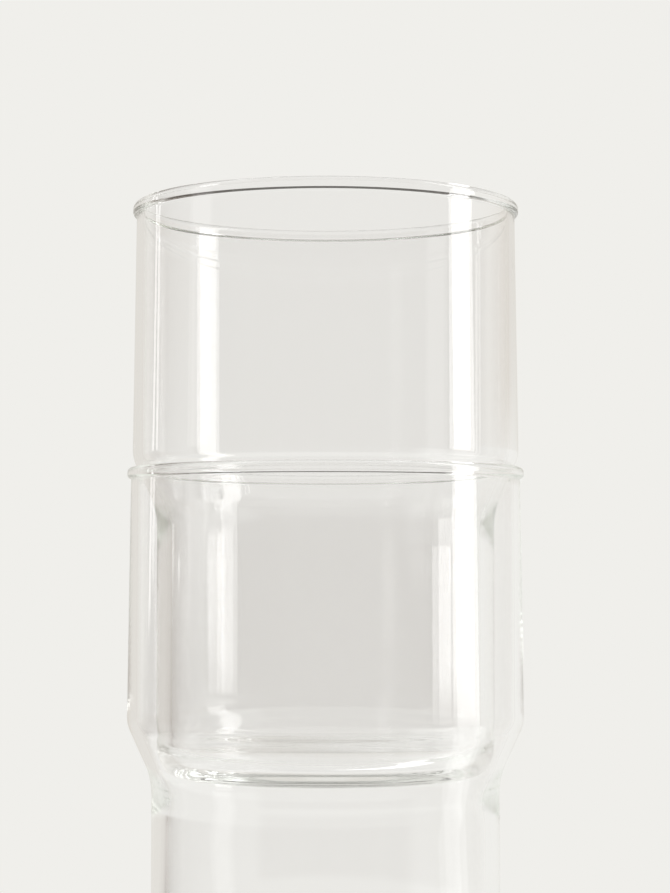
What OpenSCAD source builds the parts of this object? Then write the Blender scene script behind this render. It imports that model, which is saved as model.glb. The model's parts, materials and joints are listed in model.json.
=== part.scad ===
// Stacking cortado glass: two blown borosilicate tumblers of one pattern, one nested in the other.
// Each glass is one piece of glass: a beaded rim, a straight body, a sloped shoulder and a
// narrower base with a rounded heel. The shoulder of the upper glass sits on the rim of the
// lower one, and the upper glass lifts straight out.
// Lengths are in millimetres. Z is up, and the origin is where the axis meets the table.

/* [Rim and body] */
// Outside diameter over the rim bead of the upper glass
rim_d = 62; // [52:0.5:76]
// Height of one glass
glass_h = 91; // [82:0.5:120]
// Wall thickness of the body where it meets the shoulder
wall = 1.6; // [1.2:0.1:2.6]
// How far the outside of the body draws in from the shoulder to the rim, on the radius
draft = 0.5; // [0.1:0.1:0.6]
// How far the rim bead stands out from the wall below it
bead_proud = 0.6; // [0.2:0.1:1.2]
// Height of the straight side of the rim bead, between its round top and its round lower edge
bead_side = 0.4; // [0.2:0.1:1.2]
// Slope of the underside of the rim bead, in degrees from level
bead_slope = 20; // [20:1:45]

/* [Shoulder] */
// Height of the corner where the body turns in to the shoulder
shoulder_z = 50.2; // [46:0.2:60]
// Slope of the shoulder, in degrees from upright
shoulder_slope = 24.5; // [20:0.5:35]
// Radius of the bend from the body to the shoulder
shoulder_r = 5.5; // [3:0.5:9]
// Radius of the bend from the shoulder to the base
waist_r = 12; // [5:0.5:16]

/* [Base] */
// Wall thickness of the base
base_wall = 2.4; // [1.4:0.1:2.6]
// Thickness of the floor, measured from the table
floor_t = 2.8; // [2.4:0.1:6]
// Outside radius of the heel
heel_r = 4.5; // [3:0.5:9]
// Inside radius where the floor meets the wall
floor_r = 3; // [2:0.2:8]
// Width of the flat ring that the glass stands on
foot_w = 3.3; // [1.5:0.1:6]
// Depth of the hollow under the floor
punt_depth = 0.5; // [0.3:0.1:1.5]

/* [Stacking] */
// Clearance all round between a base and the mouth of an equal glass
nest_gap = 2.3; // [1:0.1:3]
// Gap left where the two stacked glasses meet
seat_gap = 0.1; // [0.05:0.05:0.3]
// How much wider the lower glass came out of the blowing, on the diameter
lower_wider = 1.5; // [0:0.1:1.8]

/* [Hidden] */
$fn = 96;

// Steps in each rounded corner and in the hollow under the floor
corner_steps = 10;
punt_steps = 12;

// Thickness of the rim, and the radii of the rim and body: the inside is straight, and the
// outside carries the draft
rim_r = rim_d / 2;
lip_t = wall - draft + bead_proud;
lip_r = lip_t / 2;
mouth_r = rim_r - lip_t;
body_low_r = mouth_r + wall;
body_top_r = body_low_r - draft;

// Radii of the base, which follows from the mouth that it nests in
base_r = mouth_r - nest_gap;
base_inner_r = base_r - base_wall;
punt_r = base_r - heel_r - foot_w;

// Rounding of the rim bead at its lower edge and where it meets the wall, and the heights of both
bead_edge_r = bead_proud;
bead_root_r = bead_proud / 2;
bead_low_z = glass_h - lip_r - bead_side - bead_edge_r * tan((90 - bead_slope) / 2);
bead_end_z = bead_low_z - bead_proud * tan(bead_slope);

// How much larger every radius of the lower glass is
lower_extra = lower_wider / 2;

// Height at which a line parallel to the outer shoulder, and inset from it, is at radius r
function shoulder_height(r, inset) =
    shoulder_z + ((r - body_low_r) * cos(shoulder_slope) + inset) / sin(shoulder_slope);

waist_z = shoulder_height(base_r, 0);
inner_shoulder_z = shoulder_height(mouth_r, wall);
inner_waist_z = shoulder_height(base_inner_r, wall);

// Pitch of the stack if the shoulder of the upper glass sits on the rim bead of the lower one
rim_seat_pitch =
    glass_h - lip_r - shoulder_height(rim_r + lower_extra - lip_r, -lip_r - seat_gap);
// Pitch of the stack if the heel of the upper glass sits inside the shoulder of the lower one
heel_seat_pitch =
    shoulder_height(base_r - heel_r - lower_extra, wall + heel_r + seat_gap) - heel_r;
// Whichever seat is met first carries the upper glass
stack_pitch = max(rim_seat_pitch, heel_seat_pitch);

function unit(v) = v / norm(v);

// Arc of radius r that rounds the corner at p between its neighbours a and b
function corner_arc(a, p, b, r) =
    let (
        to_a = unit(a - p),
        to_b = unit(b - p),
        half = acos(to_a * to_b) / 2,
        centre = p + unit(to_a + to_b) * r / sin(half),
        first = p + to_a * r / tan(half) - centre,
        last = p + to_b * r / tan(half) - centre,
        start = atan2(first.y, first.x),
        raw_sweep = atan2(last.y, last.x) - start,
        sweep = raw_sweep > 180 ? raw_sweep - 360 : raw_sweep < -180 ? raw_sweep + 360 : raw_sweep
    )
    [for (i = [0 : corner_steps])
        let (angle = start + sweep * i / corner_steps)
        centre + r * [cos(angle), sin(angle)]];

// Outline through corners, each given as [point, radius], with a radius of 0 kept sharp
function rounded_outline(corners) =
    let (last = len(corners) - 1)
    [for (i = [0 : last])
        let (p = corners[i][0], r = corners[i][1])
        each r == 0 ? [p] : corner_arc(corners[i - 1][0], p, corners[i + 1][0], r)];

// Half section of one glass whose radii are all larger by extra: the hollow under the floor, the
// outside up to the rim, then the inside
function glass_section(extra) =
    let (
        hollow_r = punt_r + extra,
        hollow = [for (i = [0 : punt_steps - 1])
            let (share = i / punt_steps)
            [[hollow_r * share, punt_depth * (1 - share * share)], 0]],
        outside = [
            [[hollow_r, 0], 0],
            [[base_r + extra, 0], heel_r],
            [[base_r + extra, waist_z], waist_r],
            [[body_low_r + extra, shoulder_z], shoulder_r],
            [[body_top_r + extra, bead_end_z], bead_root_r],
            [[rim_r + extra, bead_low_z], bead_edge_r],
            [[rim_r + extra, glass_h], lip_r]],
        inside = [
            [[mouth_r + extra, glass_h], lip_r],
            [[mouth_r + extra, inner_shoulder_z], shoulder_r - wall],
            [[base_inner_r + extra, inner_waist_z], waist_r + wall],
            [[base_inner_r + extra, floor_t], floor_r],
            [[0, floor_t], 0]]
    )
    rounded_outline(concat(hollow, outside, inside));

module glass(extra) {
    rotate_extrude() polygon(glass_section(extra));
}

// Glass that stands on the table
module lower_glass() {
    color([0.93, 0.95, 0.94, 0.35]) glass(lower_extra);
}

// Glass that is nested in the lower one
module upper_glass() {
    color([0.95, 0.96, 0.95, 0.35]) translate([0, 0, stack_pitch]) glass(0);
}

lower_glass();
upper_glass();
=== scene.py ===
import json
import math

import bpy
import numpy as np
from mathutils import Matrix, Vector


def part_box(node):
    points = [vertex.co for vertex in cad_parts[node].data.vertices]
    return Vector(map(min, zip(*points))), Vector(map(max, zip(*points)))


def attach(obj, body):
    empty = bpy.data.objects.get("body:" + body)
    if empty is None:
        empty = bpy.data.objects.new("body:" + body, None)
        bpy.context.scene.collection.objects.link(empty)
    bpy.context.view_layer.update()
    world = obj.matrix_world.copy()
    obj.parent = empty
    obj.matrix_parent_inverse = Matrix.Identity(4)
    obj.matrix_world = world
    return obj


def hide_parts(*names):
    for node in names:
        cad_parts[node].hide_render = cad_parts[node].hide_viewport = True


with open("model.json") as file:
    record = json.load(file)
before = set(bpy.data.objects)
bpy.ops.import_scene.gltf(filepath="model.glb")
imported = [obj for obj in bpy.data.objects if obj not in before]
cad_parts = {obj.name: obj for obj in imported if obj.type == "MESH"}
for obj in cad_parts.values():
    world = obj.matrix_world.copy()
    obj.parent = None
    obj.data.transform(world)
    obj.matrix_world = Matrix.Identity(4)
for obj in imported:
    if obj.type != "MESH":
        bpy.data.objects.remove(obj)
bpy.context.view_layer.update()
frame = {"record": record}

scene = bpy.context.scene
scene.view_settings.view_transform = "Standard"

# Camera
# A long lens at the height of the lower glass's body, a little below the upper rim and tilted up,
# so that the front of the upper rim stands above its back, and the lower glass runs out of the frame.
camera_distance = 0.3694
camera_height = 0.07614
camera_tilt = math.radians(2.84)
camera_offset = 0.0015
camera_lens = 92.71
camera_sensor = 36.0
camera_near_limit = 0.01
path_bounces = 160
camera_data = bpy.data.cameras.new("camera")
camera_data.sensor_width = camera_sensor
camera_data.lens = camera_lens
camera_data.clip_start = camera_near_limit
camera = bpy.data.objects.new("camera", camera_data)
camera.location = (camera_offset, -camera_distance, camera_height)
camera.rotation_euler = (math.pi / 2 + camera_tilt, 0, 0)
scene.collection.objects.link(camera)
scene.camera = camera

# Light that passes several walls of clear glass needs a long path before it is cut off.
scene.cycles.max_bounces = path_bounces
scene.cycles.transmission_bounces = path_bounces
scene.cycles.glossy_bounces = path_bounces

# Room
# A pale seamless backdrop at plain strength below a dark studio roof. On the camera's side stands a dim
# warm room below a pale ceiling, which clear glass mirrors, so that it looks a shade darker than the
# backdrop. A right wall and a far wall lie between the two, and low behind on the right all is lit.
backdrop_colour = (0.871, 0.863, 0.831, 1.0)
near_room_colour = (0.145, 0.095, 0.072, 1.0)
right_wall_colour = (0.66, 0.60, 0.53, 1.0)
far_wall_colour = (0.75, 0.725, 0.68, 1.0)
roof_colour = (0.09, 0.084, 0.075, 1.0)
ceiling_colour = (0.80, 0.785, 0.75, 1.0)

# Shares of a direction away from the camera at which one wall gives way to the next
near_room_ends_left = 0.50
far_wall_starts_left = 0.72
near_room_ends_right = 0.0
right_wall_starts = 0.20
right_wall_ends = 0.70
far_wall_starts_right = 0.90
roof_near_edge = -0.05
roof_far_edge = 0.25

# Share to the right or the left over which the two sides blend
side_blend = 0.2

# Shares of a direction upwards
ceiling_starts = 0.20
ceiling_ends = 0.30
roof_starts = 0.445
roof_ends = 0.53
lit_low = 0.02
lit_high = 0.06

# Lit side: where it lies, and the shares towards it over which it comes in
lit_heading = (0.643, 0.766, 0.0)
lit_side_starts = 0.70
lit_side_ends = 0.80

# Level of the light that the room gives to the table
room_level = 0.85
white = (1, 1, 1, 1)


def link(tree, source, output, target, slot):
    """Joins one node's output to another node's input."""
    tree.links.new(source.outputs[output], target.inputs[slot])


def math_node(tree, operation, first, second):
    """A Math node: operation on two values, each a number or an output socket."""
    node = tree.nodes.new("ShaderNodeMath")
    node.operation = operation
    for socket, value in zip(node.inputs, (first, second)):
        if isinstance(value, (int, float)):
            socket.default_value = value
        else:
            tree.links.new(value, socket)
    return node.outputs[0]


def fade_node(tree, value, start, end):
    """0 up to start, 1 from end, and a smooth step between them."""
    node = tree.nodes.new("ShaderNodeMapRange")
    node.interpolation_type = "SMOOTHSTEP"
    node.inputs["From Min"].default_value = start
    node.inputs["From Max"].default_value = end
    tree.links.new(value, node.inputs["Value"])
    return node.outputs["Result"]


def colour_mix(tree, share, first, second):
    """Colour that goes from first to second as share goes from 0 to 1."""
    node = tree.nodes.new("ShaderNodeMix")
    node.data_type = "RGBA"
    tree.links.new(share, node.inputs["Factor"])
    for socket, value in ((node.inputs["A"], first), (node.inputs["B"], second)):
        if isinstance(value, tuple):
            socket.default_value = value
        else:
            tree.links.new(value, socket)
    return node.outputs["Result"]


def mirrored_share(tree, path):
    """1 on light that has been mirrored at least once on its way to the eye, else 0."""
    return math_node(tree, "MINIMUM", path.outputs["Glossy Depth"], 1)


def through_glass(tree, path):
    """1 on rays that left a glass surface, mirrored or refracted, else 0."""
    both = math_node(tree, "ADD", path.outputs["Is Transmission Ray"], path.outputs["Is Glossy Ray"])
    return math_node(tree, "MINIMUM", both, 1)


def side_share(tree, heading, side, starts, ends):
    """How far heading, a unit vector, points to one side: 0 to 1 as its share along side goes from
    starts to ends."""
    towards = tree.nodes.new("ShaderNodeVectorMath")
    towards.operation = "DOT_PRODUCT"
    tree.links.new(heading, towards.inputs[0])
    towards.inputs[1].default_value = side
    return fade_node(tree, towards.outputs["Value"], starts, ends)


def wall_colours(tree, heading):
    """Colour of the mirrored room along heading, a unit vector: from the near room to the far wall by
    its share away from the camera, past the right wall on that side, and lit low behind on the right."""
    way = tree.nodes.new("ShaderNodeSeparateXYZ")
    tree.links.new(heading, way.inputs[0])
    forward = way.outputs["Y"]
    left = colour_mix(tree, fade_node(tree, forward, near_room_ends_left, far_wall_starts_left),
                      near_room_colour, far_wall_colour)
    right = colour_mix(tree, fade_node(tree, forward, near_room_ends_right, right_wall_starts),
                       near_room_colour, right_wall_colour)
    right = colour_mix(tree, fade_node(tree, forward, right_wall_ends, far_wall_starts_right),
                       right, far_wall_colour)
    to_right = fade_node(tree, way.outputs["X"], -side_blend, side_blend)
    walls = colour_mix(tree, to_right, left, right)
    lit = math_node(tree, "MULTIPLY", fade_node(tree, way.outputs["Z"], lit_high, lit_low),
                    side_share(tree, heading, lit_heading, lit_side_starts, lit_side_ends))
    return colour_mix(tree, lit, walls, backdrop_colour)


world = bpy.data.worlds.new("room")
world.use_nodes = True
scene.world = world
tree = world.node_tree
tree.nodes.clear()
path = tree.nodes.new("ShaderNodeLightPath")
place = tree.nodes.new("ShaderNodeTexCoord")
way = tree.nodes.new("ShaderNodeSeparateXYZ")
link(tree, place, "Generated", way, 0)
mirrored = mirrored_share(tree, path)
room = colour_mix(tree, fade_node(tree, way.outputs["Z"], ceiling_starts, ceiling_ends),
                  wall_colours(tree, place.outputs["Generated"]), ceiling_colour)
roof = math_node(tree, "MULTIPLY", fade_node(tree, way.outputs["Z"], roof_starts, roof_ends),
                 fade_node(tree, way.outputs["Y"], roof_near_edge, roof_far_edge))
roof = math_node(tree, "MULTIPLY", roof, through_glass(tree, path))
shown = tree.nodes.new("ShaderNodeBackground")
below_roof = colour_mix(tree, mirrored, backdrop_colour, room)
tree.links.new(colour_mix(tree, roof, below_roof, roof_colour), shown.inputs["Color"])
fill = tree.nodes.new("ShaderNodeBackground")
fill.inputs["Color"].default_value = white
fill.inputs["Strength"].default_value = room_level
seen = math_node(tree, "MAXIMUM", through_glass(tree, path), path.outputs["Is Camera Ray"])
blend = tree.nodes.new("ShaderNodeMixShader")
tree.links.new(seen, blend.inputs["Fac"])
link(tree, fill, 0, blend, 1)
link(tree, shown, 0, blend, 2)
link(tree, blend, 0, tree.nodes.new("ShaderNodeOutputWorld"), 0)

# Floor
# A wide disc of pale paper, lit and shadowed close to the glass and running out into the backdrop
# further off, so that no horizon shows. Where the glass mirrors it, its glow has painted shade in the
# walls' colours, painted light on the right and a painted light streak below the softbox.
floor_radius = 1.5
floor_lit_radius = 0.06
floor_fade_radius = 0.13
# Painted shade on the mirrored floor: the distances over which it comes in, and the share of it kept near
# the glass
floor_dim_start = 0.125
floor_dim_end = 0.15
floor_dim_share = 0.85
# Painted light on the mirrored floor near the glass: the side where it lies, the shares towards it over
# which it comes in, and the distances over which it fades out
floor_lit_heading = (0.927, 0.375, 0.0)
floor_lit_starts = 0.45
floor_lit_ends = 0.64
floor_near_full = 0.35
floor_near_ends = 0.60
# Painted light streak on the mirrored floor below the softbox: its colour, and the shares to the right over
# which it comes in
painted_light_streak_colour = (1.7, 1.7, 1.67, 1.0)
painted_light_streak_starts = 0.982
painted_light_streak_ends = 0.988
floor_rings = 24
floor_turns = 96


def disc(radius, rings, turns):
    """Flat disc at the table's height: x = r cos a, y = r sin a on a grid of rings r and turns a."""
    r = radius * np.linspace(0, 1, rings + 1)[1:, None]
    a = np.linspace(0, 2 * np.pi, turns, endpoint=False)[None]
    ring = np.stack([r * np.cos(a), r * np.sin(a), 0 * r * a], axis=-1).reshape(-1, 3)
    return np.vstack([[0, 0, 0], ring])


def ring_faces(rings, turns, first):
    """Quads between neighbouring rings of a closed grid whose points start at index first."""
    i = np.arange(rings - 1)[:, None] * turns + first
    j = np.arange(turns)[None]
    k = (j + 1) % turns
    return np.stack([i + j, i + k, i + turns + k, i + turns + j], axis=-1).reshape(-1, 4)


def fan_faces(centre, ring_start, turns, upward):
    """Triangles between a pole and the ring next to it, turned to face up or down."""
    j = np.arange(turns)
    k = (j + 1) % turns
    pair = (j, k) if upward else (k, j)
    return np.stack([np.full(turns, centre), ring_start + pair[0], ring_start + pair[1]], axis=-1)


def new_piece(name, points, faces, material):
    """Mesh object at the origin from an array of points and lists of faces, shaded smooth."""
    mesh = bpy.data.meshes.new(name)
    mesh.from_pydata(points.tolist(), [], faces)
    mesh.polygons.foreach_set("use_smooth", np.ones(len(mesh.polygons), dtype=bool))
    mesh.materials.append(material)
    mesh.update()
    piece = bpy.data.objects.new(name, mesh)
    scene.collection.objects.link(piece)
    return piece


floor_paper = bpy.data.materials.new("floor_paper")
floor_paper.use_nodes = True
tree = floor_paper.node_tree
tree.nodes.clear()
path = tree.nodes.new("ShaderNodeLightPath")
place = tree.nodes.new("ShaderNodeTexCoord")
heading = tree.nodes.new("ShaderNodeVectorMath")
heading.operation = "NORMALIZE"
link(tree, place, "Object", heading, 0)
way = tree.nodes.new("ShaderNodeSeparateXYZ")
link(tree, heading, "Vector", way, 0)
reach = tree.nodes.new("ShaderNodeVectorMath")
reach.operation = "LENGTH"
link(tree, place, "Object", reach, 0)
paper = tree.nodes.new("ShaderNodeBsdfDiffuse")
paper.inputs["Color"].default_value = backdrop_colour
mirrored = mirrored_share(tree, path)
distance = reach.outputs["Value"]
near = math_node(tree, "MULTIPLY", fade_node(tree, distance, floor_near_ends, floor_near_full), mirrored)
# Painted shade: where the glass mirrors the floor, its glow takes the walls' darker colours from
# floor_dim_start outwards, a little less near the glass.
dim = math_node(tree, "MULTIPLY", fade_node(tree, distance, floor_dim_start, floor_dim_end), mirrored)
dim = math_node(tree, "SUBTRACT", dim, math_node(tree, "MULTIPLY", near, 1 - floor_dim_share))
# Painted light: near the glass, the mirrored floor's glow is brightened to the backdrop colour on the
# right.
painted_light_share = side_share(tree, heading.outputs["Vector"], floor_lit_heading, floor_lit_starts, floor_lit_ends)
lit = math_node(tree, "MULTIPLY", near, painted_light_share)
walls = colour_mix(tree, lit, wall_colours(tree, heading.outputs["Vector"]), backdrop_colour)
painted_shade_and_light = colour_mix(tree, dim, backdrop_colour, walls)
# Painted light streak: a brighter colour painted into the mirrored floor's glow below the softbox, near the
# glass.
below_box = fade_node(tree, way.outputs["X"], painted_light_streak_starts, painted_light_streak_ends)
painted_light_streak = math_node(tree, "MULTIPLY", below_box, near)
glow = tree.nodes.new("ShaderNodeEmission")
tree.links.new(colour_mix(tree, painted_light_streak, painted_shade_and_light, painted_light_streak_colour), glow.inputs["Color"])
far = math_node(tree, "MULTIPLY", fade_node(tree, distance, floor_lit_radius, floor_fade_radius),
                path.outputs["Is Camera Ray"])
blend = tree.nodes.new("ShaderNodeMixShader")
tree.links.new(math_node(tree, "MAXIMUM", far, through_glass(tree, path)), blend.inputs["Fac"])
link(tree, paper, 0, blend, 1)
link(tree, glow, 0, blend, 2)
link(tree, blend, 0, tree.nodes.new("ShaderNodeOutputMaterial"), 0)
floor_faces = (fan_faces(0, 1, floor_turns, True).tolist()
               + ring_faces(floor_rings, floor_turns, 1)[:, ::-1].tolist())
floor = new_piece("floor", disc(floor_radius, floor_rings, floor_turns), floor_faces, floor_paper)

# Softboxes
# A tall window-like box on the right gives the long white streaks, a narrow strip behind on the left a
# thin one, and a dim card on the left a pale one. They fade out at their lower edge, and show only where
# the glass mirrors them.
soft_edge = 0.03


def softbox(name, azimuth, distance, width, low, high, radiance):
    """Upright area lamp that faces the axis of the glasses, from height low to height high: azimuth
    counts from the camera's side towards the right, and its lower edge fades in over soft_edge."""
    data = bpy.data.lights.new(name, "AREA")
    data.shape = "RECTANGLE"
    data.size = width
    data.size_y = high - low
    data.energy = radiance * math.pi * width * (high - low)
    data.use_nodes = True
    tree = data.node_tree
    emission = next(n for n in tree.nodes if n.type == "EMISSION")
    path = tree.nodes.new("ShaderNodeLightPath")
    direct = math_node(tree, "SUBTRACT", path.outputs["Is Transmission Ray"], mirrored_share(tree, path))
    direct = math_node(tree, "MAXIMUM", direct, 0)
    hidden = math_node(tree, "MAXIMUM", direct, path.outputs["Is Camera Ray"])
    spot = tree.nodes.new("ShaderNodeNewGeometry")
    across = tree.nodes.new("ShaderNodeSeparateXYZ")
    link(tree, spot, "Parametric", across, 0)
    lower_edge = fade_node(tree, across.outputs["Y"], 0, soft_edge / (high - low))
    shown = math_node(tree, "MULTIPLY", math_node(tree, "SUBTRACT", 1, hidden), lower_edge)
    tree.links.new(shown, emission.inputs["Strength"])
    lamp = bpy.data.objects.new(name, data)
    a = math.radians(azimuth)
    lamp.location = (distance * math.sin(a), -distance * math.cos(a), (low + high) / 2)
    lamp.rotation_euler = (math.pi / 2, 0, a)
    scene.collection.objects.link(lamp)


softbox("right_softbox", azimuth=86.5, distance=0.42, width=0.126, low=0.008, high=0.70, radiance=3.8)
softbox("left_strip", azimuth=-120.5, distance=0.78, width=0.034, low=0.041, high=0.46, radiance=2.2)
softbox("left_card", azimuth=-79, distance=0.78, width=0.215, low=0.041, high=0.46, radiance=0.6)

# Lower glass
# The glass that stands on the table, one piece of blown borosilicate: a fire-polished bead at the rim,
# a straight body, a sloped shoulder and a narrower base with a rounded heel and a hollow foot. It came
# out of the blowing a little wider than the upper one.
MM = 0.001
mounts = {mount["name"]: mount for mount in frame["record"]["mounts"]}
lower_low, lower_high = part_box("lower_glass")
upper_low, upper_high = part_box("upper_glass")
glass_h = upper_high.z - upper_low.z
rim_r = (upper_high.x - upper_low.x) / 2
lower_extra = (lower_high.x - lower_low.x) / 2 - rim_r
mouth_r = mounts["mouth"]["dims"]["r_mm"] * MM
base_r = mounts["base"]["dims"]["r_mm"] * MM - lower_extra
wall = 1.6 * MM
draft = 0.5 * MM
bead_side = 0.4 * MM
bead_slope = math.radians(20)
shoulder_z = 50.2 * MM
shoulder_slope = math.radians(24.5)
shoulder_r = 5.5 * MM
waist_r = 12.0 * MM
inner_waist_r = 25.0 * MM
base_wall = 2.4 * MM
floor_t = 2.8 * MM
heel_r = 4.5 * MM
floor_r = 3.0 * MM
foot_w = 3.3 * MM
punt_depth = 0.5 * MM

# Fineness of the mesh, and the distance below which two points of the outline are one
corner_steps = 14
longest_step = 1.6 * MM
glass_turns = 360
same_point = 1e-6 * MM

# Look of the glass: waves left by the blowing, smears of the polish, refraction and tint
wave_length = 24 * MM
wave_height = 0.05 * MM
wave_pull = 0.4
wave_detail = 0.0
smear_length = 9 * MM
smear_detail = 1.0
smear_starts = 0.56
smear_ends = 0.85
smear_roughness = 0.06
glass_bending = 1.47
tint_colour = (0.885, 0.93, 0.885, 1)
tint_density = 5.0


def shoulder_height(r, inset):
    """Height of the line parallel to the outer shoulder, and inset from it, at radius r."""
    run = (r - mouth_r - wall) * math.cos(shoulder_slope) + inset
    return shoulder_z + run / math.sin(shoulder_slope)


def rounded_outline(corners, steps):
    """Line through corners (r, z, bend): each corner gives way to the arc of radius bend that touches
    both its sides, whose centre lies on the bisector at bend / sin(half the corner's angle)."""
    point, bend = corners[:, :2], corners[:, 2:]
    back = np.roll(point, 1, axis=0) - point
    ahead = np.roll(point, -1, axis=0) - point
    back /= np.linalg.norm(back, axis=1, keepdims=True)
    ahead /= np.linalg.norm(ahead, axis=1, keepdims=True)
    half = np.arccos(np.clip((back * ahead).sum(axis=1, keepdims=True), -1, 1)) / 2
    bisector = (back + ahead) / np.linalg.norm(back + ahead, axis=1, keepdims=True)
    centre = point + bisector * bend / np.sin(half)
    first = point + back * bend / np.tan(half) - centre
    last = point + ahead * bend / np.tan(half) - centre
    sweep = (np.pi - 2 * half)[:, :, None]
    share = np.linspace(0, 1, steps)[None, :, None]
    from_first, from_last = np.sin((1 - share) * sweep), np.sin(share * sweep)
    arc = (from_first * first[:, None] + from_last * last[:, None]) / np.sin(sweep)
    line = (centre[:, None] + arc).reshape(-1, 2)
    apart = np.linalg.norm(np.diff(line, axis=0), axis=1) > same_point
    return line[np.r_[True, apart]]


def evenly_split(line, longest):
    """The same line with every straight stretch split into steps no longer than longest."""
    length = np.linalg.norm(np.diff(line, axis=0), axis=1)
    count = np.ceil(length / longest).astype(int)
    start = np.repeat(np.arange(len(length)), count)
    step = np.arange(count.sum()) - np.repeat(np.cumsum(count) - count, count)
    share = (step / np.repeat(count, count))[:, None]
    split = line[start] * (1 - share) + line[start + 1] * share
    return np.vstack([split, line[-1]])


def glass_section(extra):
    """Half section, as points (r, z), of a glass whose radii are all larger by extra: from the middle
    of the foot up the outside, over the rim and down the inside to the middle of the floor. The bead's
    underside slopes back to the wall, and the hollow under the foot is a paraboloid."""
    inner_r = base_r - base_wall
    body_r = mouth_r + wall
    lip_r = (rim_r - mouth_r) / 2
    proud = rim_r - body_r + draft
    bead_z = glass_h - lip_r - bead_side - proud * math.tan((math.pi / 2 - bead_slope) / 2)
    bead_end_z = bead_z - proud * math.tan(bead_slope)
    corners = np.array([
        (-extra, 0, 0),
        (base_r, 0, heel_r),
        (base_r, shoulder_height(base_r, 0), waist_r),
        (body_r, shoulder_z, shoulder_r),
        (body_r - draft, bead_end_z, proud / 2),
        (rim_r, bead_z, proud),
        (rim_r, glass_h, lip_r),
        (mouth_r, glass_h, lip_r),
        (mouth_r, shoulder_height(mouth_r, wall), shoulder_r - wall),
        (inner_r, shoulder_height(inner_r, wall), inner_waist_r),
        (inner_r, floor_t, floor_r),
        (-extra, floor_t, 0)])
    line = evenly_split(rounded_outline(corners, corner_steps), longest_step)
    punt_r = base_r - heel_r - foot_w + extra
    line[:, 0] += extra
    under = line[:, 1] <= 0
    line[under, 1] = punt_depth * np.clip(1 - (line[under, 0] / punt_r) ** 2, 0, None)
    return line


def blown_glass(section, lift, turns):
    """Section (r, z) carried round the axis: x = r cos a, y = r sin a, z + lift. Its two ends lie on
    the axis and close as poles. Returns the points and the faces, turned outwards."""
    r, z = section[1:-1, 0][:, None], section[1:-1, 1][:, None]
    a = np.linspace(0, 2 * np.pi, turns, endpoint=False)[None]
    rings = np.stack([r * np.cos(a), r * np.sin(a), z + lift + 0 * a], axis=-1).reshape(-1, 3)
    poles = np.array([[0, 0, section[0, 1] + lift], [0, 0, section[-1, 1] + lift]])
    count = len(section) - 2
    last_ring = 2 + (count - 1) * turns
    faces = (ring_faces(count, turns, 2).tolist()
             + fan_faces(0, 2, turns, False).tolist()
             + fan_faces(1, last_ring, turns, True).tolist())
    return np.vstack([poles, rings]), faces


def clear_glass():
    """Clear borosilicate: sharp refraction, a breath of green through thick sections, and a faint
    unevenness of polish and surface from the blowing."""
    material = bpy.data.materials.new("clear_glass")
    material.use_nodes = True
    tree = material.node_tree
    shader = tree.nodes["Principled BSDF"]
    shader.inputs["Base Color"].default_value = white
    shader.inputs["Transmission Weight"].default_value = 1.0
    shader.inputs["IOR"].default_value = glass_bending
    place = tree.nodes.new("ShaderNodeTexCoord")
    pulled = tree.nodes.new("ShaderNodeMapping")
    pulled.inputs["Scale"].default_value = (1, 1, wave_pull)
    link(tree, place, "Object", pulled, "Vector")
    waves = tree.nodes.new("ShaderNodeTexNoise")
    waves.inputs["Scale"].default_value = 1 / wave_length
    waves.inputs["Detail"].default_value = wave_detail
    link(tree, pulled, 0, waves, "Vector")
    bump = tree.nodes.new("ShaderNodeBump")
    bump.inputs["Distance"].default_value = wave_height
    link(tree, waves, 0, bump, "Height")
    link(tree, bump, 0, shader, "Normal")
    smears = tree.nodes.new("ShaderNodeTexNoise")
    smears.inputs["Scale"].default_value = 1 / smear_length
    smears.inputs["Detail"].default_value = smear_detail
    link(tree, place, "Object", smears, "Vector")
    polish = tree.nodes.new("ShaderNodeMapRange")
    polish.inputs["From Min"].default_value = smear_starts
    polish.inputs["From Max"].default_value = smear_ends
    polish.inputs["To Max"].default_value = smear_roughness
    link(tree, smears, 0, polish, "Value")
    link(tree, polish, 0, shader, "Roughness")
    tint = tree.nodes.new("ShaderNodeVolumeAbsorption")
    tint.inputs["Color"].default_value = tint_colour
    tint.inputs["Density"].default_value = tint_density
    link(tree, tint, 0, tree.nodes["Material Output"], "Volume")
    return material


glass_material = clear_glass()
lower_points, lower_faces = blown_glass(glass_section(lower_extra), lower_low.z, glass_turns)
lower_glass = new_piece("lower_glass_blown", lower_points, lower_faces, glass_material)
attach(lower_glass, "lower_glass")
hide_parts("lower_glass")

# Upper glass
# A glass of the same pattern, standing in the lower one: its base hangs inside the lower body and its
# shoulder sits on the lower rim.
upper_points, upper_faces = blown_glass(glass_section(0), upper_low.z, glass_turns)
upper_glass = new_piece("upper_glass_blown", upper_points, upper_faces, glass_material)
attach(upper_glass, "upper_glass")
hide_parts("upper_glass")
